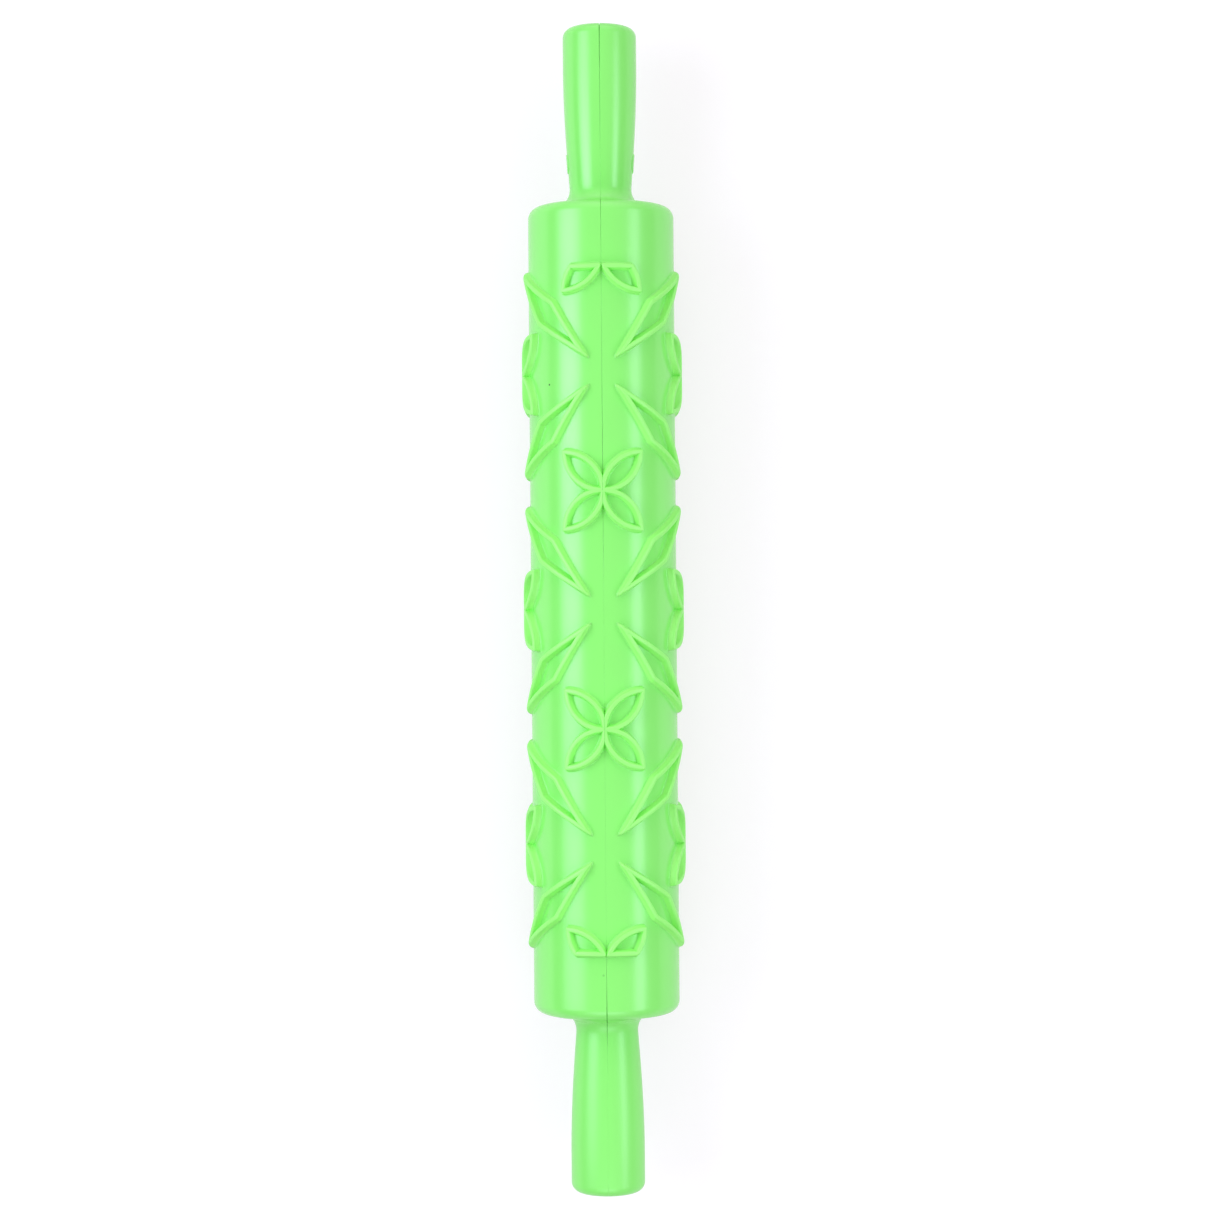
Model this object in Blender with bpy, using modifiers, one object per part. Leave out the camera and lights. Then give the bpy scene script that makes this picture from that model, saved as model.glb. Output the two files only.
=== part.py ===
"""Embossing roller: a hollow plastic pin with a raised flower and diamond pattern.

The pin is two identical half shells, each with half of the body and of both handles. They meet on a
plane through the pin's axis, with a tongue on one edge of each shell in a groove of the other, and two
pins in two sockets. The shapes are turned about the local Z axis of an empty that lays the pin along
the world's Y axis. Its local -Y side, which holds the seam seen from the front, faces the world's +Z.
Lengths are in metres.
"""

import math

import bmesh
import bpy
from mathutils import Matrix, Vector

# Body and handles
BODY_LENGTH = 0.265
BODY_RADIUS = 0.024
BODY_RIM_RADIUS = 0.0038
HANDLE_LENGTH = 0.0592
NECK_RADIUS = 0.0102
NECK_FILLET_RADIUS = 0.006
GRIP_RADIUS = 0.01213
GRIP_STRAIGHT_LENGTH = 0.0096
HANDLE_END_RADIUS = 0.0032

# Shell walls and the seam
WALL = 0.0026
SEAM_GAP = 0.0003
FIT_CLEARANCE = 0.0003
TONGUE_WIDTH = 0.0007
TONGUE_HEIGHT = 0.0012
TONGUE_ROOT = 0.0006
TONGUE_AXIS_DISTANCE = 0.002

# Ribs across the inside
BULKHEAD_THICKNESS = 0.002
BULKHEAD_PITCH = 0.044
BULKHEAD_HOLE_RADIUS = 0.009
HANDLE_BULKHEAD_DISTANCE = 0.028
HANDLE_BULKHEAD_HOLE_RADIUS = 0.0045

# Locating pins and their sockets
PIN_AXIS_DISTANCE = 0.0155
PIN_RADIUS = 0.0015
PIN_LENGTH = 0.0024
PIN_ROOT = 0.001
BOSS_RADIUS = 0.0034

# Raised pattern
RELIEF_HEIGHT = 0.0024
RELIEF_SINK = 0.0006
RIB_BASE_WIDTH = 0.0026
RIB_CREST_WIDTH = 0.0013
FLOWER_PITCH = 0.0768
PETAL_REACH = 0.01235
CUT_FLOWER_LOSS = 0.0048
DIAMOND_TIP_DISTANCE = 0.0097
DIAMOND_HALF_WIDTH = 0.0043

# Round pads on one handle
PAD_RADIUS = 0.00325
PAD_HEIGHT = 0.0003
PAD_DISTANCE = 0.0145

# One overrun for every cut, and how close points merge
OVERRUN = 0.001
MERGE_DISTANCE = 0.00001

# Counts
TURN_STEPS = 32
INSIDE_STEPS = 20
END_STEPS = 3
TAPER_STEPS = 6
FILLET_STEPS = 4
RIM_STEPS = 3
PETAL_STEPS = 4
DIAMOND_STEPS = 3
BULKHEADS_EACH_WAY = 2
FLOWER_COLUMNS = 4
BOSS_SIDES = 16
PIN_SIDES = 12
PAD_SIDES = 16

# Worked out from the sizes above
BODY_HALF = BODY_LENGTH / 2
END_HEIGHT = BODY_HALF + HANDLE_LENGTH
CREST_RADIUS = BODY_RADIUS + RELIEF_HEIGHT
TAPER_LENGTH = HANDLE_LENGTH - NECK_FILLET_RADIUS - GRIP_STRAIGHT_LENGTH - HANDLE_END_RADIUS
PIN_STATION = BULKHEADS_EACH_WAY * BULKHEAD_PITCH
SMOOTH_ANGLE = math.radians(32)
PLASTIC_COLOUR = (0.29, 0.95, 0.21, 1.0)
PLASTIC_ROUGHNESS = 0.32


def clear_scene():
    for thing in list(bpy.data.objects):
        bpy.data.objects.remove(thing, do_unlink=True)


def new_collection(name):
    collection = bpy.data.collections.new(name)
    bpy.context.scene.collection.children.link(collection)
    return collection


def plastic(name):
    material = bpy.data.materials.new(name)
    material.use_nodes = True
    shader = material.node_tree.nodes["Principled BSDF"]
    shader.inputs["Base Color"].default_value = PLASTIC_COLOUR
    shader.inputs["Roughness"].default_value = PLASTIC_ROUGHNESS
    shader.inputs["Metallic"].default_value = 0
    material.diffuse_color = PLASTIC_COLOUR
    return material


def add_helper(name, mesh, collection, axis_empty):
    """A solid that only cuts or joins, turned with the pin's axis."""
    helper = bpy.data.objects.new(name, mesh)
    helper.hide_render = True
    helper.display_type = "WIRE"
    helper.parent = axis_empty
    collection.objects.link(helper)
    return helper


def mesh_from(name, build):
    mesh = bpy.data.meshes.new(name)
    shape = bmesh.new()
    build(shape)
    shape.to_mesh(mesh)
    shape.free()
    return mesh


def boolean(target, operation, other, name):
    modifier = target.modifiers.new(name, "BOOLEAN")
    modifier.operation = operation
    modifier.solver = "EXACT"
    if isinstance(other, bpy.types.Collection):
        modifier.operand_type = "COLLECTION"
        modifier.collection = other
    else:
        modifier.object = other
    return modifier


def arc(centre, radius, start, end, steps):
    """Points of an arc in the turning plane, or its corner alone where the radius is used up."""
    if radius <= 0:
        return [centre]
    points = []
    for step in range(steps + 1):
        angle = start + (end - start) * step / steps
        points.append((centre[0] + radius * math.cos(angle), centre[1] + radius * math.sin(angle)))
    return points


def half_outline(inset):
    """(radius, height) from the upper handle's end down to the body's middle, inset into the wall."""
    neck_centre = (NECK_RADIUS + NECK_FILLET_RADIUS, BODY_HALF + NECK_FILLET_RADIUS)
    neck_radius = NECK_FILLET_RADIUS + inset
    taper_slope = math.atan(math.pi / 2 * (GRIP_RADIUS - NECK_RADIUS) / TAPER_LENGTH)
    taper_foot_radius = neck_centre[0] - NECK_FILLET_RADIUS * math.cos(taper_slope)
    taper_rise = NECK_FILLET_RADIUS * math.sin(taper_slope)
    end_centre = (GRIP_RADIUS - HANDLE_END_RADIUS, END_HEIGHT - HANDLE_END_RADIUS)
    rim_centre = (BODY_RADIUS - BODY_RIM_RADIUS, BODY_HALF - BODY_RIM_RADIUS)

    points = [(0, END_HEIGHT - inset)]
    points += arc(end_centre, HANDLE_END_RADIUS - inset, math.pi / 2, 0, END_STEPS)
    for step in range(TAPER_STEPS, 0, -1):
        share = step / TAPER_STEPS
        rise = (GRIP_RADIUS - taper_foot_radius) * math.sin(share * math.pi / 2)
        along = taper_rise + (TAPER_LENGTH - taper_rise) * share
        points.append((taper_foot_radius + rise - inset, neck_centre[1] + along))
    points += arc(neck_centre, neck_radius, math.pi - taper_slope, math.pi * 3 / 2, FILLET_STEPS)
    points += arc(rim_centre, BODY_RIM_RADIUS - inset, math.pi / 2, 0, RIM_STEPS)
    return points


def turned(name, inset, steps, collection, axis_empty):
    """The whole pin as one turned solid, its surface inset by this much."""
    upper = half_outline(inset)
    outline = upper + [(radius, -height) for radius, height in reversed(upper)]

    def build(shape):
        corners = [shape.verts.new((radius, 0, height)) for radius, height in outline]
        for first, second in zip(corners, corners[1:]):
            shape.edges.new((first, second))
        # Half a step round, so that a facet and not a corner lies on the seam
        bmesh.ops.rotate(shape, verts=shape.verts, matrix=Matrix.Rotation(math.pi / steps, 3, "Z"))

    solid = add_helper(name, mesh_from(name, build), collection, axis_empty)
    screw = solid.modifiers.new("turn", "SCREW")
    screw.steps = steps
    screw.render_steps = steps
    screw.use_merge_vertices = True
    screw.merge_threshold = MERGE_DISTANCE
    return solid


def box(name, low, high, collection, axis_empty):
    low, high = Vector(low), Vector(high)

    def build(shape):
        bmesh.ops.create_cube(shape, size=1)
        bmesh.ops.scale(shape, vec=high - low, verts=shape.verts)
        bmesh.ops.translate(shape, vec=(high + low) / 2, verts=shape.verts)

    return add_helper(name, mesh_from(name, build), collection, axis_empty)


def cylinder(name, radius, low, high, sides, collection, axis_empty):
    """A cylinder between two points on a line along X or Z."""
    low, high = Vector(low), Vector(high)

    def build(shape):
        bmesh.ops.create_cone(
            shape,
            cap_ends=True,
            segments=sides,
            radius1=radius,
            radius2=radius,
            depth=(high - low).length,
        )
        turn = Vector((0, 0, 1)).rotation_difference(high - low).to_matrix()
        bmesh.ops.rotate(shape, verts=shape.verts, matrix=turn)
        bmesh.ops.translate(shape, vec=(low + high) / 2, verts=shape.verts)

    return add_helper(name, mesh_from(name, build), collection, axis_empty)


def petal_outline(loss):
    """A petal between two quarter circles, outwards from the flower's heart or this far from it."""
    start_near = math.asin(loss / PETAL_REACH)
    start_far = math.acos(1 - loss / PETAL_REACH)
    points = []
    for step in range(PETAL_STEPS + 1):
        angle = start_near + (math.pi / 2 - start_near) * step / PETAL_STEPS
        points.append((PETAL_REACH * (1 - math.cos(angle)), PETAL_REACH * math.sin(angle)))
    last = 0 if loss else 1
    for step in range(PETAL_STEPS - 1, last - 1, -1):
        angle = start_far + (math.pi / 2 - start_far) * step / PETAL_STEPS
        points.append((PETAL_REACH * math.sin(angle), PETAL_REACH * (1 - math.cos(angle))))
    return points


def diamond_outline():
    """A long diamond on the diagonal of one cell of the pattern, about the cell's middle."""
    across = Vector((CREST_RADIUS * math.pi / 2, FLOWER_PITCH / 2))
    along = across.normalized()
    aside = Vector((-along.y, along.x))
    tip = along * (across.length / 2 - DIAMOND_TIP_DISTANCE)
    side = aside * DIAMOND_HALF_WIDTH
    corners = [tip, side, -tip, -side]
    points = []
    for corner, following in zip(corners, corners[1:] + corners[:1]):
        for step in range(DIAMOND_STEPS):
            points.append(tuple(corner.lerp(following, step / DIAMOND_STEPS)))
    return points


def offset_outline(outline, distance):
    """The closed outline moved outwards by this distance, with mitred corners."""
    points = [Vector(point) for point in outline]
    area = sum(a.cross(b) for a, b in zip(points, points[1:] + points[:1]))
    sense = 1 if area > 0 else -1
    moved = []
    for index, point in enumerate(points):
        before = (point - points[index - 1]).normalized()
        after = (points[(index + 1) % len(points)] - point).normalized()
        normal_before = Vector((before.y, -before.x)) * sense
        normal_after = Vector((after.y, -after.x)) * sense
        mitre = (normal_before + normal_after).normalized()
        moved.append(point + mitre * distance / mitre.dot(normal_after))
    return moved


def rib(name, outline, angle, height, collection, axis_empty):
    """A closed raised rib along an outline that is wrapped round the body.

    The outline's first measure runs round the body at the crest's radius, and its second along it.
    """
    sink_half = RIB_BASE_WIDTH / 2
    crest_half = RIB_CREST_WIDTH / 2
    sunk_half = sink_half + (sink_half - crest_half) * RELIEF_SINK / RELIEF_HEIGHT
    sunk_radius = BODY_RADIUS - RELIEF_SINK
    section = (
        (sunk_half, sunk_radius),
        (crest_half, CREST_RADIUS),
        (-crest_half, CREST_RADIUS),
        (-sunk_half, sunk_radius),
    )
    rings = [offset_outline(outline, corner[0]) for corner in section]

    def build(shape):
        around, along = len(section), len(outline)
        bmesh.ops.create_grid(shape, x_segments=along, y_segments=around, size=1)
        for corner in shape.verts:
            row = round((corner.co.y + 1) / 2 * around) % around
            column = round((corner.co.x + 1) / 2 * along) % along
            round_way, up = rings[row][column]
            radius = section[row][1]
            turn = angle + round_way / CREST_RADIUS
            corner.co = (radius * math.sin(turn), -radius * math.cos(turn), height + up)
        bmesh.ops.remove_doubles(shape, verts=shape.verts, dist=MERGE_DISTANCE)
        bmesh.ops.recalc_face_normals(shape, faces=shape.faces)

    return add_helper(name, mesh_from(name, build), collection, axis_empty)


def flower(name, angle, height, ways, loss, collection, axis_empty):
    """The petals of one flower; ways gives the sense of each along the pin."""
    for way in ways:
        for side in (1, -1):
            outline = [(side * u, way * v) for u, v in petal_outline(loss)]
            rib(f"{name}_{side}_{way}", outline, angle, height, collection, axis_empty)


def raise_pattern(collection, axis_empty):
    """Flowers in turn at quarter turns and half pitches, diamonds on the diagonals between them."""
    half_pitch = FLOWER_PITCH / 2
    quarter = math.tau / FLOWER_COLUMNS
    for column in range(FLOWER_COLUMNS):
        angle = column * quarter
        rows = (-2, 0, 2) if column % 2 else (-1, 1)
        for row in rows:
            flower(f"flower_{column}_{row}", angle, row * half_pitch, (1, -1), 0, collection, axis_empty)
        if column % 2 == 0:
            for way in (1, -1):
                name = f"cut_flower_{column}_{way}"
                height = 3 * way * half_pitch
                flower(name, angle, height, (-way,), CUT_FLOWER_LOSS, collection, axis_empty)
        for row in range(-3, 3):
            rising = -1 if (row + column) % 2 else 1
            outline = [(u, rising * v) for u, v in diamond_outline()]
            middle = (row + 0.5) * half_pitch
            rib(f"diamond_{column}_{row}", outline, angle + quarter / 2, middle, collection, axis_empty)


def add_pads(collection, axis_empty):
    """Two low round pads, one on each side of the upper handle, that follow its taper."""
    raised = turned("pad_surface", -PAD_HEIGHT, TURN_STEPS, collection, axis_empty)
    pads = []
    for side in (1, -1):
        height = BODY_HALF + PAD_DISTANCE
        inner = (side * NECK_RADIUS / 2, 0, height)
        outer = (side * BODY_RADIUS, 0, height)
        pad = cylinder(f"pad_{side}", PAD_RADIUS, inner, outer, PAD_SIDES, collection, axis_empty)
        boolean(pad, "INTERSECT", raised, "follow_handle")
        pads.append(pad)
    return pads


def hollow_out(shell, collection, axis_empty):
    """The hollow of the pin, which leaves the ribs across it and the pins' bosses standing."""
    hollow = turned("hollow", WALL, INSIDE_STEPS, collection, axis_empty)
    stations = []
    for index in range(-BULKHEADS_EACH_WAY, BULKHEADS_EACH_WAY + 1):
        stations.append((index * BULKHEAD_PITCH, BODY_RADIUS, BULKHEAD_HOLE_RADIUS))
    for way in (1, -1):
        height = way * (BODY_HALF + HANDLE_BULKHEAD_DISTANCE)
        stations.append((height, BODY_RADIUS, HANDLE_BULKHEAD_HOLE_RADIUS))
    for index, (height, outer, opening) in enumerate(stations):
        low = (0, 0, height - BULKHEAD_THICKNESS / 2)
        high = (0, 0, height + BULKHEAD_THICKNESS / 2)
        disc = cylinder(f"bulkhead_{index}", outer, low, high, INSIDE_STEPS, collection, axis_empty)
        low = (0, 0, height - BULKHEAD_THICKNESS)
        high = (0, 0, height + BULKHEAD_THICKNESS)
        hole = cylinder(f"bulkhead_hole_{index}", opening, low, high, BOSS_SIDES, collection, axis_empty)
        boolean(disc, "DIFFERENCE", hole, "open_middle")
        boolean(hollow, "DIFFERENCE", disc, f"keep_bulkhead_{index}")
    for way in (1, -1):
        for side in (1, -1):
            low = (0, side * PIN_AXIS_DISTANCE, way * PIN_STATION)
            high = (BODY_RADIUS, side * PIN_AXIS_DISTANCE, way * PIN_STATION)
            name = f"boss_{side}_{way}"
            boss = cylinder(name, BOSS_RADIUS, low, high, BOSS_SIDES, collection, axis_empty)
            boolean(hollow, "DIFFERENCE", boss, f"keep_{name}")
    boolean(shell, "DIFFERENCE", hollow, "hollow")


def seam_ring(name, margin, low, high, collection, axis_empty):
    """A strip along the middle of the wall, cut off by a box."""
    outer = (WALL - TONGUE_WIDTH) / 2 - margin
    inner = (WALL + TONGUE_WIDTH) / 2 + margin
    strip = turned(name, outer, TURN_STEPS, collection, axis_empty)
    inside = turned(f"{name}_inside", inner, TURN_STEPS, collection, axis_empty)
    reach = box(f"{name}_reach", low, high, collection, axis_empty)
    boolean(strip, "DIFFERENCE", inside, "inside")
    boolean(strip, "INTERSECT", reach, "reach")
    return strip


def cut_at_seam(shell, collection, axis_empty):
    face = SEAM_GAP / 2
    wide = CREST_RADIUS + OVERRUN
    tall = END_HEIGHT + OVERRUN
    far_side = box("far_side", (-wide, -wide, -tall), (face, wide, tall), collection, axis_empty)
    boolean(shell, "DIFFERENCE", far_side, "far_side")

    # The groove is deeper than the other shell's tongue reaches by the clearance
    depth = TONGUE_HEIGHT - SEAM_GAP + FIT_CLEARANCE
    near = TONGUE_AXIS_DISTANCE - FIT_CLEARANCE
    low, high = (-OVERRUN, near, -tall), (face + depth, wide, tall)
    groove = seam_ring("groove", FIT_CLEARANCE, low, high, collection, axis_empty)
    boolean(shell, "DIFFERENCE", groove, "groove")

    low = (face - TONGUE_HEIGHT, -wide, -tall)
    high = (face + TONGUE_ROOT, -TONGUE_AXIS_DISTANCE, tall)
    tongue = seam_ring("tongue", 0, low, high, collection, axis_empty)
    boolean(shell, "UNION", tongue, "tongue")

    socket_depth = PIN_LENGTH - SEAM_GAP + FIT_CLEARANCE
    for way in (1, -1):
        low = (-OVERRUN, PIN_AXIS_DISTANCE, way * PIN_STATION)
        high = (face + socket_depth, PIN_AXIS_DISTANCE, way * PIN_STATION)
        radius = PIN_RADIUS + FIT_CLEARANCE
        socket = cylinder(f"socket_{way}", radius, low, high, PIN_SIDES, collection, axis_empty)
        boolean(shell, "DIFFERENCE", socket, f"socket_{way}")
        low = (face - PIN_LENGTH, -PIN_AXIS_DISTANCE, way * PIN_STATION)
        high = (face + PIN_ROOT, -PIN_AXIS_DISTANCE, way * PIN_STATION)
        pin = cylinder(f"pin_{way}", PIN_RADIUS, low, high, PIN_SIDES, collection, axis_empty)
        boolean(shell, "UNION", pin, f"pin_{way}")


def finish_shell(name, mesh, turn, collection, axis_empty):
    mesh.materials.clear()
    mesh.materials.append(plastic(f"{name}_plastic"))
    mesh.shade_smooth()
    mesh.set_sharp_from_angle(angle=SMOOTH_ANGLE)
    shell = bpy.data.objects.new(name, mesh)
    shell.parent = axis_empty
    shell.rotation_euler = (0, 0, turn)
    collection.objects.link(shell)


def main():
    clear_scene()
    pieces = new_collection("embossing_roller")
    cutters = new_collection("cutters")
    pattern = new_collection("pattern")
    pattern.hide_render = True

    axis_empty = bpy.data.objects.new("roller_axis", None)
    axis_empty.rotation_euler = (-math.pi / 2, 0, 0)
    pieces.objects.link(axis_empty)

    half = turned("half_shell", 0, TURN_STEPS, cutters, axis_empty)
    raise_pattern(pattern, axis_empty)
    boolean(half, "UNION", pattern, "pattern")
    for index, pad in enumerate(add_pads(cutters, axis_empty)):
        boolean(half, "UNION", pad, f"pad_{index}")
    hollow_out(half, cutters, axis_empty)
    cut_at_seam(half, cutters, axis_empty)

    graph = bpy.context.evaluated_depsgraph_get()
    mesh = bpy.data.meshes.new_from_object(half.evaluated_get(graph))
    finish_shell("right_half_shell", mesh, 0, pieces, axis_empty)
    finish_shell("left_half_shell", mesh.copy(), math.pi, pieces, axis_empty)


main()
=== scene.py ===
"""Embossing roller: the green plastic pin as it looks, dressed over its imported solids.

Two half shells of glossy green plastic meet at a seam along the pin. Each carries its half of the
raised flowers and diamonds. The pin lies on a white table under two tall softboxes and one past
its lower end. Lengths are in metres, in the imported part's own frame: the pin along Y, the seam in
front facing +Z.
"""

import math

import bmesh
import bpy
import numpy as np
from mathutils import Matrix


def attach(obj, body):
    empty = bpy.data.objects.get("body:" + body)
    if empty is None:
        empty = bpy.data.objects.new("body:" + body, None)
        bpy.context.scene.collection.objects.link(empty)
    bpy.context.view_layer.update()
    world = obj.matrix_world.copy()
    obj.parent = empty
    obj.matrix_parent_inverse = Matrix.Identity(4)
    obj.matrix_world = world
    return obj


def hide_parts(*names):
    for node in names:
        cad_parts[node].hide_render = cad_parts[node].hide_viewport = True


# The turned form of body and handles
BODY_HALF = 0.1325
BODY_RADIUS = 0.024
BODY_RIM_RADIUS = 0.0038
END_HEIGHT = 0.1917
NECK_RADIUS = 0.0102
NECK_FILLET_RADIUS = 0.006
GRIP_RADIUS = 0.01213
GRIP_STRAIGHT_LENGTH = 0.0096
HANDLE_END_RADIUS = 0.0032
WALL = 0.0026

# The raised pattern
RELIEF_HEIGHT = 0.0024
CREST_RADIUS = BODY_RADIUS + RELIEF_HEIGHT
FLOWER_PITCH = 0.0768
PETAL_REACH = 0.01235
PETAL_SPREAD = 1.06
CUT_FLOWER_LOSS = 0.0048
DIAMOND_TIP_DISTANCE = 0.0097
DIAMOND_HALF_WIDTH = 0.0043
DIAMOND_CORNER_RADIUS = 0.0025

# Half a rib's section: how far from its middle, how high above the body
RIB_FLANK = (
    (0.0, 0.002397),
    (0.00025, 0.002388),
    (0.00043, 0.00236),
    (0.00058, 0.00229),
    (0.00070, 0.00216),
    (0.00079, 0.00196),
    (0.00086, 0.00168),
    (0.00092, 0.00135),
    (0.00098, 0.00100),
    (0.00105, 0.00068),
    (0.00114, 0.00040),
    (0.00126, 0.00018),
    (0.00141, 0.00004),
    (0.00156, 0.0),
    (0.00175, -0.00006),
)
RIB_DEPTH = 0.0006
RIB_TIP_REACH = 0.0028
RIB_TIP_REACH_POWER = 4
RIB_TIP_FADE = 0.0050
RIB_TIP_FADE_POWER = 1.8
CORNER_MITRE = 1.1
SHARP_MITRE = 2.0
RIB_SEAM_GAP = 0.00003
RIB_SELF_GAP = 0.000002

# Half the seam's width along the pin, as height and width, then its rounded lips and cut faces
SEAM_WIDTHS = (
    (-0.1917, 0.000006),
    (-0.1450, 0.000006),
    (-0.1400, 0.000032),
    (-0.1370, 0.000050),
    (-0.1335, 0.000110),
    (-0.1305, 0.000105),
    (-0.1270, 0.000060),
    (-0.1240, 0.000045),
    (-0.1215, 0.000030),
    (-0.1150, 0.000022),
    (-0.1060, 0.000007),
    (0.0130, 0.000008),
    (0.0190, 0.000030),
    (0.0300, 0.000034),
    (0.0320, 0.000014),
    (0.0450, 0.000014),
    (0.0470, 0.000036),
    (0.0600, 0.000040),
    (0.0680, 0.000034),
    (0.0750, 0.000026),
    (0.0850, 0.000020),
    (0.0960, 0.000012),
    (0.1050, 0.000020),
    (0.1150, 0.000016),
    (0.1220, 0.000026),
    (0.1310, 0.000036),
    (0.1345, 0.000010),
    (0.1500, 0.000008),
    (0.1570, 0.000026),
    (0.1750, 0.000032),
    (0.1850, 0.000075),
    (0.1917, 0.000100),
)
LIP_RADIUS = 0.00010
LIP_RADIUS_SHARE = 3.0
LIP_PLACES = (0.0, 0.00003, 0.00007, 0.00012, 0.0002, 0.00035, 0.0007)
LIP_LARGEST_ANGLE = 0.08
FACE_GAP = 0.000005
FACE_DEPTHS = (0.0003, 0.0006, 0.0014)

# Round pads on the upper handle: their place along the pin, and half a section
PAD_HEIGHT = 0.1470
PAD_OUTLINE = (
    (0.0, 0.00030),
    (0.0010, 0.00030),
    (0.0020, 0.00030),
    (0.00275, 0.00029),
    (0.0030, 0.00024),
    (0.00318, 0.00012),
    (0.00325, -0.0001),
    (0.00325, -0.0006),
    (0.0, -0.0006),
)

# Steps along the curves of the forms
END_SHARES = (0, 0.03, 0.12, 0.35, 0.7)
END_STEPS = 10
TAPER_STEPS = 21
FILLET_STEPS = 10
RIM_STEPS = 12
BODY_STEPS = 33
SIDE_STEPS = 40
INSIDE_STEPS = 24
PETAL_STEPS = 22
CUT_STEPS = 12
DIAMOND_STEPS = 20
BEND_STEPS = 6
FAN_STEPS = 12
PAD_STEPS = 36

# How close points merge and cuts reach, and what keeps a division from zero
MERGE_DISTANCE = 1e-7
CUT_DISTANCE = 1e-8
TINY = 1e-9

# The table, and the short bright stretch that a softbox may have
TABLE_HALF_SIZE = 4
TABLE_GAP = 0.0001
CORE_PLACE = 0.54
CORE_SHARPNESS = 80.0

# The camera, facing the pin's front
CAMERA_PLACE = (0.00104, 0.00089, 0.9)
CAMERA_TURN = -0.008
CAMERA_LENS = 80.86

# The plastic's greens, and between which heights above the body each blends into the next
BODY_GREENS = ((0.245, 0.820, 0.144, 1), (0.257, 0.845, 0.152, 1))
# The ribs' sides and crests are painted light: lighter greens for light glowing through the thin ribs
FLANK_PAINTED_LIGHT_GREEN = (0.370, 0.950, 0.200, 1)
CREST_PAINTED_LIGHT_GREEN = (0.312, 0.910, 0.168, 1)
FLANK_BLEND = (0.0001, 0.0006)
CREST_PAINTED_LIGHT_BLEND = (0.0012, 0.0021)

# Two dirt marks: place, radius and blur, then colour
DARK_SPECK = ((-0.0170, 0.0730, 0.0169), 0.00027, 0.00007)
DARK_SPECK_COLOUR = (0.005, 0.01, 0.005, 1)
FAINT_SPECK = ((-0.0010, -0.1175, 0.0240), 0.00034, 0.00020)
FAINT_SPECK_COLOUR = (0.06, 0.35, 0.05, 1)
FAINT_SPECK_SHARE = 0.35

# The table's greys, its glow and how far out that fades, and the lamps' colour
TABLE_GREYS = ((0.37, 0.37, 0.37, 1), (0.39, 0.39, 0.39, 1))
GLOW_COLOUR = (1, 0.94, 0.97, 1)
GLOW_FADE = (1.5, 0.3)
LAMP_COLOUR = (0.88, 0.98, 1.14)


def arc(centre, radius, start, end, steps):
    angles = np.linspace(start, end, steps + 1)
    return [(centre[0] + radius * math.cos(a), centre[1] + radius * math.sin(a)) for a in angles]


def turned_outline(inset):
    """(radius, height) from the upper handle's end to the lower one's, inset into the wall."""
    taper_length = END_HEIGHT - BODY_HALF - NECK_FILLET_RADIUS - GRIP_STRAIGHT_LENGTH - HANDLE_END_RADIUS
    neck_centre = (NECK_RADIUS + NECK_FILLET_RADIUS, BODY_HALF + NECK_FILLET_RADIUS)
    slope = math.atan(math.pi / 2 * (GRIP_RADIUS - NECK_RADIUS) / taper_length)
    foot_radius = neck_centre[0] - NECK_FILLET_RADIUS * math.cos(slope)
    foot_rise = NECK_FILLET_RADIUS * math.sin(slope)
    end_centre = (GRIP_RADIUS - HANDLE_END_RADIUS, END_HEIGHT - HANDLE_END_RADIUS)
    rim_centre = (BODY_RADIUS - BODY_RIM_RADIUS, BODY_HALF - BODY_RIM_RADIUS)

    upper = [(end_centre[0] * share, END_HEIGHT - inset) for share in END_SHARES]
    upper += arc(end_centre, HANDLE_END_RADIUS - inset, math.pi / 2, 0, END_STEPS)
    for share in np.linspace(1, 0, TAPER_STEPS + 1)[:-1]:
        rise = (GRIP_RADIUS - foot_radius) * math.sin(share * math.pi / 2)
        along = foot_rise + (taper_length - foot_rise) * share
        upper.append((foot_radius + rise - inset, neck_centre[1] + along))
    neck_radius = NECK_FILLET_RADIUS + inset
    upper += arc(neck_centre, neck_radius, math.pi - slope, math.pi * 3 / 2, FILLET_STEPS)
    upper.append(((neck_centre[0] + rim_centre[0]) / 2, BODY_HALF - inset))
    upper += arc(rim_centre, BODY_RIM_RADIUS - inset, math.pi / 2, 0, RIM_STEPS)
    for share in np.linspace(1, 0, BODY_STEPS + 1)[1:-1]:
        upper.append((BODY_RADIUS - inset, rim_centre[1] * share))
    middle = [(BODY_RADIUS - inset, 0)]
    lower = [(radius, -height) for radius, height in reversed(upper)]
    return np.array(upper + middle + lower)


def tube_of(shape, places, ring=False):
    """A net of places as a tube, its columns joined round, and its rows too where it is a ring."""
    rows, columns = places.shape[:2]
    last_row = rows if ring else rows - 1
    made = bmesh.ops.create_grid(shape, x_segments=columns, y_segments=last_row, size=1)
    corners = {}
    for corner in made["verts"]:
        column = round((corner.co.x + 1) / 2 * columns)
        row = round((corner.co.y + 1) / 2 * last_row)
        corner.co = places[row % rows, column % columns]
        corners[row, column] = corner
    joined = {}
    for row in range(last_row + 1):
        joined[corners[row, columns]] = corners[row % rows, 0]
    if ring:
        for column in range(columns):
            joined[corners[rows, column]] = corners[0, column]
    bmesh.ops.weld_verts(shape, targetmap=joined)


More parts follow.
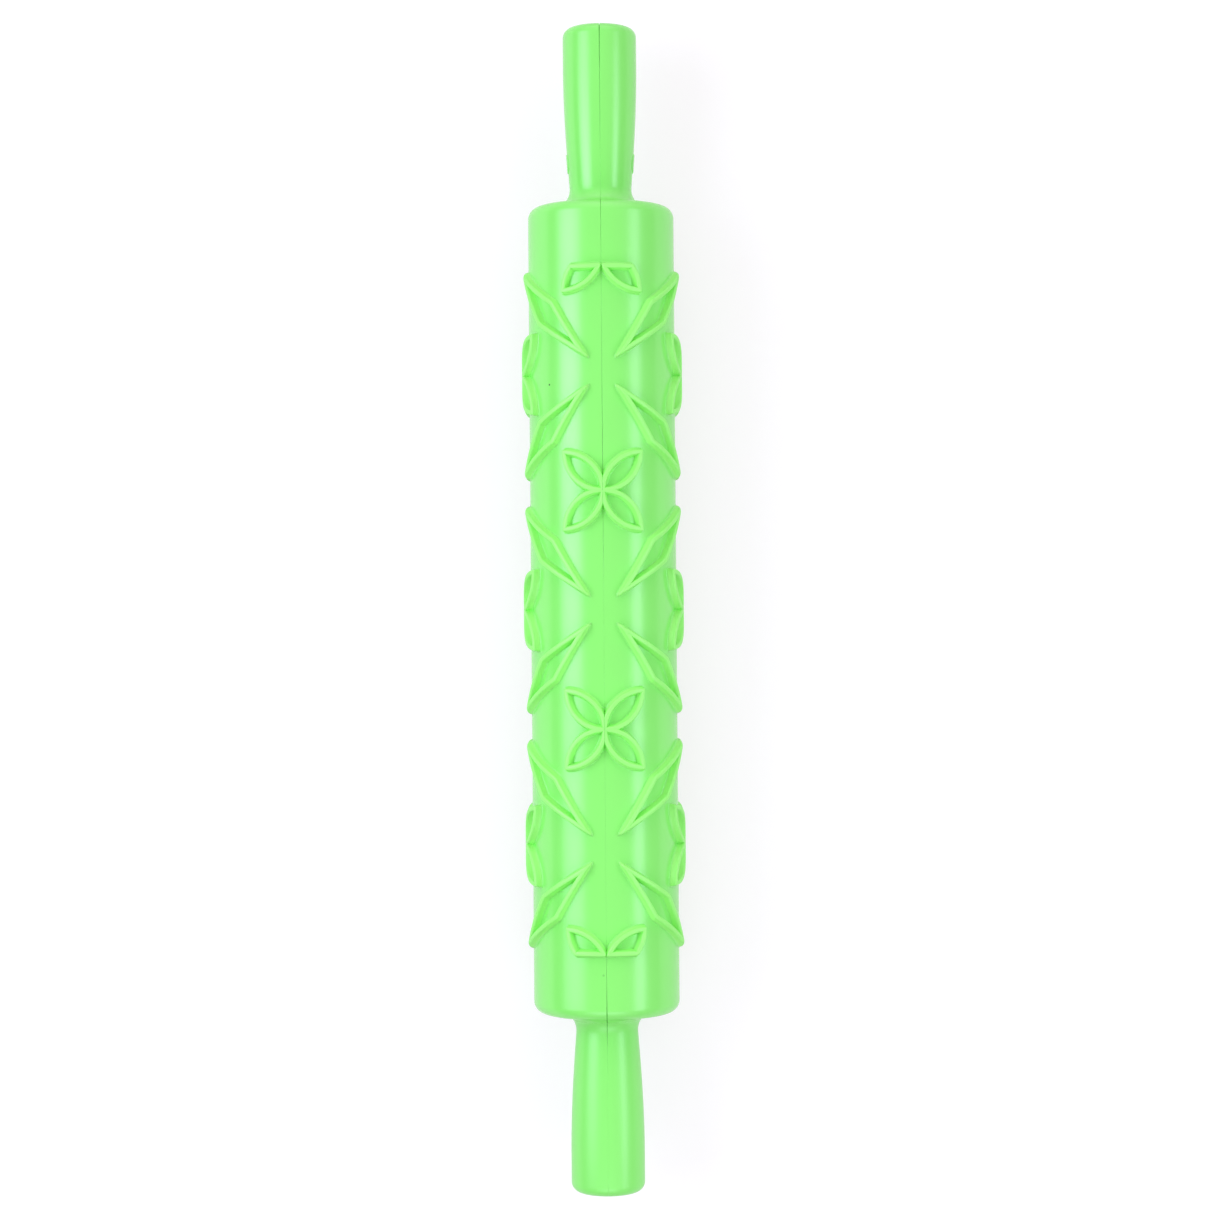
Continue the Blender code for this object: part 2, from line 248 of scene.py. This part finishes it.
def add_skin(shape):
    """The smooth wall of the right half: outside, cut face, inside, and the other cut face."""
    outer = turned_outline(0)
    inwards = (turned_outline(WALL) - outer) / WALL
    radius, height = outer[:, :1], outer[:, 1:]
    seam = np.interp(height, *zip(*SEAM_WIDTHS))

    # Columns close together at the lip, then evenly round to the middle of the side
    lip = np.array(LIP_PLACES)
    lip_angles = np.minimum(lip / np.maximum(radius, TINY), lip / lip[-1] * LIP_LARGEST_ANGLE)
    even = np.linspace(0, 1, SIDE_STEPS + 1)[1:]
    side_angles = lip_angles[:, -1:] + (math.pi / 2 - lip_angles[:, -1:]) * even
    front = np.hstack([lip_angles, side_angles])
    angles = np.hstack([front, math.pi - front[:, -2::-1]])
    from_seam = radius * np.minimum(angles, math.pi - angles)
    lip_radius = np.minimum(LIP_RADIUS, seam * LIP_RADIUS_SHARE)
    short = np.clip(lip_radius - from_seam, 0, lip_radius)
    depths = lip_radius - np.sqrt(lip_radius**2 - short**2)

    def places(depth, angle, gap):
        around = radius + inwards[:, :1] * depth
        along = height + inwards[:, 1:] * depth
        x = gap + (around - gap) * np.sin(angle)
        return np.stack([x, along + 0 * x, around * np.cos(angle)], axis=2)

    face_depths = np.array([FACE_DEPTHS])
    face_gaps = np.hstack([seam, 0 * seam + FACE_GAP, 0 * seam + FACE_GAP])
    inner_angles = np.linspace(math.pi, 0, INSIDE_STEPS + 1)[None, :]
    parts = [
        places(depths, angles, seam),
        places(face_depths, math.pi, face_gaps),
        places(WALL, inner_angles, FACE_GAP),
        places(face_depths[:, ::-1], 0.0, face_gaps[:, ::-1]),
    ]
    tube_of(shape, np.concatenate(parts, axis=1))
    bmesh.ops.remove_doubles(shape, verts=shape.verts, dist=MERGE_DISTANCE)


def eased(count):
    """Shares from 0 up to 1, without the 1, closer together at both ends."""
    return (1 - np.cos(np.linspace(0, math.pi, count + 1)[:-1])) / 2


def petal_outline(loss):
    """A petal between two quarter circles, from the flower's heart or cut off this far from it.

    The circles are spread a little round the body.
    """
    start_near = math.asin(loss / PETAL_REACH)
    start_far = math.acos(1 - loss / PETAL_REACH)
    near = start_near + (math.pi / 2 - start_near) * eased(PETAL_STEPS)
    far = math.pi / 2 - (math.pi / 2 - start_far) * eased(PETAL_STEPS)
    points = [(PETAL_REACH * (1 - math.cos(a)), PETAL_REACH * math.sin(a)) for a in near]
    points += [(PETAL_REACH * math.sin(a), PETAL_REACH * (1 - math.cos(a))) for a in far]
    if loss:
        first = np.array(points[0])
        last = np.array((PETAL_REACH * math.sin(start_far), loss))
        points += [tuple(last + (first - last) * share) for share in eased(CUT_STEPS)]
    return np.array(points) * (PETAL_SPREAD, 1)


def diamond_outline(rising):
    """A long diamond on the diagonal of one cell of the pattern, about the cell's middle."""
    across = np.array((CREST_RADIUS * math.pi / 2, rising * FLOWER_PITCH / 2))
    half = np.linalg.norm(across) / 2
    along = across / (2 * half)
    aside = np.array((-along[1], along[0]))
    tip = np.array((half - DIAMOND_TIP_DISTANCE, 0))
    lean = math.atan(DIAMOND_HALF_WIDTH / tip[0])
    bend_centre = (0, DIAMOND_HALF_WIDTH - DIAMOND_CORNER_RADIUS / math.cos(lean))
    start, end = math.pi / 2 - lean, math.pi / 2 + lean
    bend = arc(bend_centre, DIAMOND_CORNER_RADIUS, start, end, BEND_STEPS)
    bend = [np.array(point) for point in bend]
    points = [tip + (bend[0] - tip) * share for share in eased(DIAMOND_STEPS)]
    points += bend[:-1]
    points += [bend[-1] + (-tip - bend[-1]) * share for share in eased(DIAMOND_STEPS)]
    points += [-point for point in points]
    return np.array(points) @ np.array((along, aside))


def add_rib(shape, outline, angle, height):
    """A closed rounded rib along an outline (round the crest, along the pin), wrapped on the body."""
    following = np.roll(outline, -1, axis=0)
    if np.cross(outline, following).sum() < 0:
        outline = outline[::-1]
    step = np.roll(outline, -1, axis=0) - outline
    step /= np.linalg.norm(step, axis=1)[:, None]
    after = np.stack([step[:, 1], -step[:, 0]], axis=1)
    before = np.roll(after, 1, axis=0)
    outwards = before + after
    outwards /= np.linalg.norm(outwards, axis=1)[:, None]
    mitre = 1 / (outwards * after).sum(axis=1)

    # How far inwards a point may go before it meets the rib's other side
    gaps = outline[None, :] - outline[:, None]
    ahead = -(gaps * outwards[:, None]).sum(axis=2)
    reach = (gaps**2).sum(axis=2) / np.maximum(2 * ahead, TINY)
    room = reach.min(axis=1, where=ahead > MERGE_DISTANCE, initial=1.0)
    room = np.maximum(room - RIB_SELF_GAP, 0)

    # A corner's point is there several times, each turned a little further round the corner
    order, turns = [], []
    bends = np.arccos(np.minimum(1 / mitre, 1))
    for index, spread in enumerate(np.where(mitre > CORNER_MITRE, bends, 0)):
        fan = np.linspace(-spread, spread, FAN_STEPS + 1) if spread else [0.0]
        order += [index] * len(fan)
        turns += list(fan)
    turns = np.array(turns)
    outline, room, mitre = outline[order], room[order], mitre[order]
    bends, middle = bends[order], outwards[order]
    tips = mitre > SHARP_MITRE
    corners = mitre > CORNER_MITRE
    mitre = np.where(corners, 1 / np.cos(bends - abs(turns)), mitre)
    mitre = np.where(corners & ~tips, np.sqrt(mitre), mitre)
    turned = np.stack([-middle[:, 1], middle[:, 0]], axis=1)
    outwards = middle * np.cos(turns)[:, None] + turned * np.sin(turns)[:, None]

    flank_width, flank_height = np.array(RIB_FLANK).T
    columns = [(flank_width[-1], -RIB_DEPTH)]
    columns += list(zip(flank_width[::-1], flank_height[::-1]))
    columns += list(zip(-flank_width[1:], flank_height[1:]))
    columns.append((-flank_width[-1], -RIB_DEPTH))
    places = []
    for aside, lift in columns:
        if aside < 0:
            inner = np.minimum(-aside, room)
            shift = -outwards * inner[:, None]
            if lift > -RIB_DEPTH:
                lift = np.interp(inner, flank_width, flank_height)
        else:
            far = mitre * aside
            past = (far / (RIB_TIP_REACH + aside)) ** RIB_TIP_REACH_POWER
            far = np.where(tips, far * (1 + past) ** (-1 / RIB_TIP_REACH_POWER), far)
            shift = outwards * far[:, None]
            if lift > 0:
                fade = (far * np.cos(turns) / RIB_TIP_FADE) ** RIB_TIP_FADE_POWER
                lift = lift * np.where(tips, 1 - fade, 1)
        spot = outline + shift
        turn = angle + spot[:, 0] / CREST_RADIUS
        radius = BODY_RADIUS + lift
        x, z = radius * np.sin(turn), radius * np.cos(turn)
        places.append(np.stack([x, height + spot[:, 1], z], axis=1))
    made = bmesh.new()
    tube_of(made, np.stack(places, axis=1), ring=True)
    bmesh.ops.dissolve_degenerate(made, edges=made.edges, dist=MERGE_DISTANCE)
    bmesh.ops.recalc_face_normals(made, faces=made.faces)
    trim_at_seam(made)
    join(shape, made)


def trim_at_seam(made):
    """Cuts off what reaches past the seam and closes the cut."""
    if min(corner.co.x for corner in made.verts) > RIB_SEAM_GAP:
        return
    everything = made.verts[:] + made.edges[:] + made.faces[:]
    cut = bmesh.ops.bisect_plane(
        made,
        geom=everything,
        dist=CUT_DISTANCE,
        plane_co=(RIB_SEAM_GAP, 0, 0),
        plane_no=(1, 0, 0),
        clear_inner=True,
    )
    rim = [edge for edge in cut["geom_cut"] if isinstance(edge, bmesh.types.BMEdge)]
    bmesh.ops.holes_fill(made, edges=rim, sides=0)


def join(shape, made):
    """Adds one finished form to the piece it belongs to."""
    mesh = bpy.data.meshes.new("joined")
    made.to_mesh(mesh)
    made.free()
    shape.from_mesh(mesh)
    bpy.data.meshes.remove(mesh)


def add_pattern(shape):
    """The right half of the pattern: flowers at quarter turns, diamonds on the diagonals between."""
    half_pitch = FLOWER_PITCH / 2

    # Columns 0 and 2 lie on the seam, so this half has only the petals on its own side
    for column, sides in ((0, (1,)), (1, (1, -1)), (2, (-1,))):
        angle = column * math.pi / 2
        for row in (-2, 0, 2) if column == 1 else (-1, 1):
            for way in (1, -1):
                for side in sides:
                    outline = petal_outline(0) * (side, way)
                    add_rib(shape, outline, angle, row * half_pitch)
        if column != 1:
            for way in (1, -1):
                outline = petal_outline(CUT_FLOWER_LOSS) * (sides[0], -way)
                add_rib(shape, outline, angle, 3 * way * half_pitch)
    for column in (0, 1):
        for row in range(-3, 3):
            outline = diamond_outline(-1 if (row + column) % 2 else 1)
            add_rib(shape, outline, (column + 0.5) * math.pi / 2, (row + 0.5) * half_pitch)


def add_pad(shape):
    """A low round pad on the side of the upper handle, bent to the handle's curve."""
    made = bmesh.new()
    chain = [made.verts.new((radius, 0, rise)) for radius, rise in PAD_OUTLINE]
    edges = [made.edges.new(pair) for pair in zip(chain, chain[1:])]
    bmesh.ops.spin(
        made,
        geom=chain + edges,
        cent=(0, 0, 0),
        axis=(0, 0, 1),
        angle=math.tau,
        steps=PAD_STEPS,
        use_merge=True,
    )
    bmesh.ops.remove_doubles(made, verts=made.verts, dist=MERGE_DISTANCE)
    bmesh.ops.recalc_face_normals(made, faces=made.faces)
    outline = turned_outline(0)
    upper = outline[outline[:, 1] > BODY_HALF + NECK_FILLET_RADIUS][::-1]
    for corner in made.verts:
        aside, along, rise = corner.co
        radius = np.interp(PAD_HEIGHT + along, upper[:, 1], upper[:, 0])
        turn = aside / radius
        reach = radius + rise
        corner.co = (reach * math.cos(turn), PAD_HEIGHT + along, reach * math.sin(turn))
    bmesh.ops.recalc_face_normals(made, faces=made.faces)
    join(shape, made)


class Value:
    """A number or colour in a node tree: sums and products of values add their Math nodes."""

    def __init__(self, tree, socket):
        self.tree = tree
        self.socket = socket

    def math(self, operation, *others):
        node = self.tree.nodes.new("ShaderNodeMath")
        node.operation = operation
        for socket, value in zip(node.inputs, others):
            if isinstance(value, Value):
                self.tree.links.new(value.socket, socket)
            else:
                socket.default_value = value
        return Value(self.tree, node.outputs[0])

    def __add__(self, other):
        return self.math("ADD", self, other)

    def __radd__(self, other):
        return self.math("ADD", other, self)

    def __sub__(self, other):
        return self.math("SUBTRACT", self, other)

    def __rsub__(self, other):
        return self.math("SUBTRACT", other, self)

    def __mul__(self, other):
        return self.math("MULTIPLY", self, other)

    def __rmul__(self, other):
        return self.math("MULTIPLY", other, self)

    def at_least(self, least):
        return self.math("MAXIMUM", self, least)


class Finish:
    """A material under construction."""

    def __init__(self, name):
        self.material = bpy.data.materials.new(name)
        self.material.use_nodes = True
        self.tree = self.material.node_tree
        self.shader = self.tree.nodes["Principled BSDF"]

    def node(self, kind, settings, inputs, output=0):
        """One node: its settings first, then values or links for its sockets."""
        node = self.tree.nodes.new(kind)
        for setting, value in settings.items():
            setattr(node, setting, value)
        for key, value in inputs.items():
            self.feed(node.inputs[key], value)
        return Value(self.tree, node.outputs[output])

    def feed(self, socket, value):
        if isinstance(value, Value):
            self.tree.links.new(value.socket, socket)
        else:
            socket.default_value = value

    def set(self, **inputs):
        for name, value in inputs.items():
            self.feed(self.shader.inputs[name.replace("_", " ")], value)

    def vector(self, operation, *values, output=0):
        inputs = dict(enumerate(values))
        return self.node("ShaderNodeVectorMath", {"operation": operation}, inputs, output)

    def noise(self, where, scale, detail=2.0, roughness=0.5):
        settings = {"noise_dimensions": "3D"}
        inputs = {"Vector": where, "Scale": scale, "Detail": detail, "Roughness": roughness}
        return self.node("ShaderNodeTexNoise", settings, inputs)

    def spot(self, where, centre, radius, blur):
        """1 inside a small round mark, 0 outside it."""
        distance = self.vector("DISTANCE", where, centre, output="Value")
        return self.ramp(distance, radius + blur, radius - blur)

    def ramp(self, value, start, end):
        """0 at the start, 1 at the end, smooth between."""
        settings = {"interpolation_type": "SMOOTHSTEP"}
        inputs = {"Value": value, "From Min": start, "From Max": end}
        return self.node("ShaderNodeMapRange", settings, inputs)

    def mix(self, factor, first, second):
        settings = {"data_type": "RGBA"}
        return self.node("ShaderNodeMix", settings, {0: factor, 6: first, 7: second}, 2)


def green_plastic():
    """Bright green moulded plastic: satin gloss, fine grain, two dirt marks.

    The pattern carries painted light, lighter greens on its sides and crests for the light glowing
    through the thin ribs, and is more matt; the lower handle is a little more matt.
    """
    finish = Finish("green_plastic")
    where = finish.node("ShaderNodeTexCoord", {}, {}, "Object")
    flow = finish.noise(where, 45.0)
    cloud = finish.noise(where, 14.0, detail=3.0)
    grain = finish.noise(where, 2600.0, roughness=0.6)

    colour = finish.mix(cloud, *BODY_GREENS)
    radius = finish.vector("LENGTH", finish.vector("MULTIPLY", where, (1, 0, 1)), output="Value")
    # Painted light: the ribs' sides and crests blend to lighter greens that stand in for light through
    # the thin ribs
    raised = finish.ramp(radius, *[BODY_RADIUS + rise for rise in FLANK_BLEND])
    crest = finish.ramp(radius, *[BODY_RADIUS + rise for rise in CREST_PAINTED_LIGHT_BLEND])
    rib_painted_light_colour = finish.mix(crest, FLANK_PAINTED_LIGHT_GREEN, CREST_PAINTED_LIGHT_GREEN)
    colour = finish.mix(raised, colour, rib_painted_light_colour)
    dark_speck = finish.spot(where, *DARK_SPECK)
    faint_speck = finish.spot(where, *FAINT_SPECK)
    colour = finish.mix(dark_speck, colour, DARK_SPECK_COLOUR)
    colour = finish.mix(faint_speck * FAINT_SPECK_SHARE, colour, FAINT_SPECK_COLOUR)

    waves = finish.node("ShaderNodeBump", {}, {"Strength": 0.25, "Distance": 0.0004, "Height": flow})
    fine = finish.node(
        "ShaderNodeBump", {}, {"Strength": 0.12, "Distance": 0.00002, "Height": grain, "Normal": waves}
    )

    height = finish.node("ShaderNodeSeparateXYZ", {}, {0: where}, "Y")
    worn = finish.ramp(height, -BODY_HALF, -BODY_HALF - NECK_FILLET_RADIUS)
    roughness = 0.21 + 0.04 * cloud + 0.03 * grain + 0.20 * raised + 0.08 * worn
    finish.set(Base_Color=colour, Roughness=roughness, Normal=fine, IOR=1.5, Specular_IOR_Level=0.74)
    return finish.material


def white_table():
    finish = Finish("white_table")
    where = finish.node("ShaderNodeTexCoord", {}, {}, "Object")
    grain = finish.noise(where, 300.0)
    finish.set(Base_Color=finish.mix(grain, *TABLE_GREYS), Roughness=0.9)
    camera_ray = finish.node("ShaderNodeLightPath", {}, {}, "Is Camera Ray")
    glossy_ray = finish.node("ShaderNodeLightPath", {}, {}, "Is Glossy Ray")
    clear_ray = finish.node("ShaderNodeLightPath", {}, {}, "Is Transmission Ray")
    pool = finish.ramp(finish.vector("LENGTH", where, output="Value"), *GLOW_FADE)
    glow = finish.node("ShaderNodeEmission", {}, {"Color": GLOW_COLOUR, "Strength": 0.65})
    lit = Value(finish.tree, finish.shader.outputs[0])
    both = finish.node("ShaderNodeAddShader", {}, {0: lit, 1: glow})
    seen = finish.node(
        "ShaderNodeMixShader", {}, {0: pool * (camera_ray + glossy_ray + clear_ray), 1: lit, 2: both}
    )
    finish.feed(finish.tree.nodes["Material Output"].inputs["Surface"], seen)
    return finish.material


def piece_from(name, shape, material):
    mesh = bpy.data.meshes.new(name)
    shape.to_mesh(mesh)
    mesh.shade_smooth()
    mesh.materials.append(material)
    piece = bpy.data.objects.new(name, mesh)
    bpy.context.scene.collection.objects.link(piece)
    return piece


def make_shells():
    plastic = green_plastic()
    shape = bmesh.new()
    add_skin(shape)
    bmesh.ops.recalc_face_normals(shape, faces=shape.faces)
    add_pattern(shape)
    add_pad(shape)
    right = piece_from("right_shell", shape, plastic)
    bmesh.ops.rotate(shape, verts=shape.verts, matrix=Matrix.Rotation(math.pi, 3, "Y"))
    left = piece_from("left_shell", shape, plastic)
    shape.free()
    for piece, node in ((right, "right_half_shell"), (left, "left_half_shell")):
        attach(piece, "root")
        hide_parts(node)


def make_table():
    shape = bmesh.new()
    bmesh.ops.create_grid(shape, x_segments=1, y_segments=1, size=TABLE_HALF_SIZE)
    bmesh.ops.translate(shape, verts=shape.verts, vec=(0, 0, -CREST_RADIUS - TABLE_GAP))
    table = piece_from("table", shape, white_table())
    shape.free()


def add_softbox(name, place, width, length, power, tip=0.0, core=0.0):
    """A soft lamp facing the pin, brightest in its middle and dimmer towards its edges.

    The tip turns it up the pin. The core is the extra strength of a short bright stretch just
    above its middle.
    """
    data = bpy.data.lights.new(name, "AREA")
    data.shape = "RECTANGLE"
    data.size = width
    data.size_y = length
    data.energy = power
    data.color = LAMP_COLOUR
    data.use_nodes = True
    tree = data.node_tree
    split = tree.nodes.new("ShaderNodeSeparateXYZ")
    tree.links.new(tree.nodes.new("ShaderNodeNewGeometry").outputs["Parametric"], split.inputs[0])
    across, along = [Value(tree, socket) for socket in split.outputs[:2]]
    from_core = along - CORE_PLACE
    bright = (1.0 - CORE_SHARPNESS * from_core * from_core).at_least(0.0)
    strength = 0.3 + 2.5 * along * (1.0 - along) + core * bright
    strength = strength * (0.45 + 2.2 * across * (1.0 - across))
    tree.links.new(strength.socket, tree.nodes["Emission"].inputs["Strength"])
    lamp = bpy.data.objects.new(name, data)
    lamp.location = place
    lamp.rotation_euler = (tip, math.atan2(place[0], place[2]), 0)
    bpy.context.scene.collection.objects.link(lamp)


def light_scene():
    add_softbox("left_softbox", (-0.59, 0.09, 0.47), width=0.52, length=0.90, power=6.4, core=0.38)
    add_softbox("right_softbox", (0.62, -0.04, 0.467), width=0.28, length=0.90, power=3.4)
    add_softbox("end_softbox", (0, -0.62, 0.60), width=0.8, length=0.5, power=2.2, tip=math.radians(40))

    # A pale room, brighter overhead, past the pin's ends and on the right
    world = bpy.data.worlds.new("studio")
    world.use_nodes = True
    tree = world.node_tree
    way = tree.nodes.new("ShaderNodeTexCoord").outputs["Generated"]
    split = tree.nodes.new("ShaderNodeSeparateXYZ")
    tree.links.new(way, split.inputs[0])
    right, along, up = [Value(tree, socket) for socket in split.outputs]
    right = right.at_least(0.0)
    overhead = 0.06 + 0.40 * up * up
    ends = (1.1 + 0.6 * along) * along * along
    strength = overhead + ends + 0.32 * right
    background = tree.nodes["Background"]
    background.inputs["Color"].default_value = (1, 1, 1, 1)
    tree.links.new(strength.socket, background.inputs["Strength"])
    bpy.context.scene.world = world


def place_camera():
    data = bpy.data.cameras.new("camera")
    data.sensor_width = 36
    data.lens = CAMERA_LENS
    data.clip_start = 0.01
    data.clip_end = 20
    camera = bpy.data.objects.new("camera", data)
    camera.location = CAMERA_PLACE
    camera.rotation_euler = (0, 0, CAMERA_TURN)
    bpy.context.scene.collection.objects.link(camera)
    bpy.context.scene.camera = camera


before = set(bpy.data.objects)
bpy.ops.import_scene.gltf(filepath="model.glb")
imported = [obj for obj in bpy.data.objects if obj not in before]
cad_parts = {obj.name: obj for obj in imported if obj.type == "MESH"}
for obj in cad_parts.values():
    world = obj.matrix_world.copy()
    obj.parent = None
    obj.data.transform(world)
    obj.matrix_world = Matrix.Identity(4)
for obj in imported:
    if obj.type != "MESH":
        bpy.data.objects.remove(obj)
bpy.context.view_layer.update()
place_camera()
make_shells()
make_table()
light_scene()
bpy.context.scene.view_settings.view_transform = "Standard"
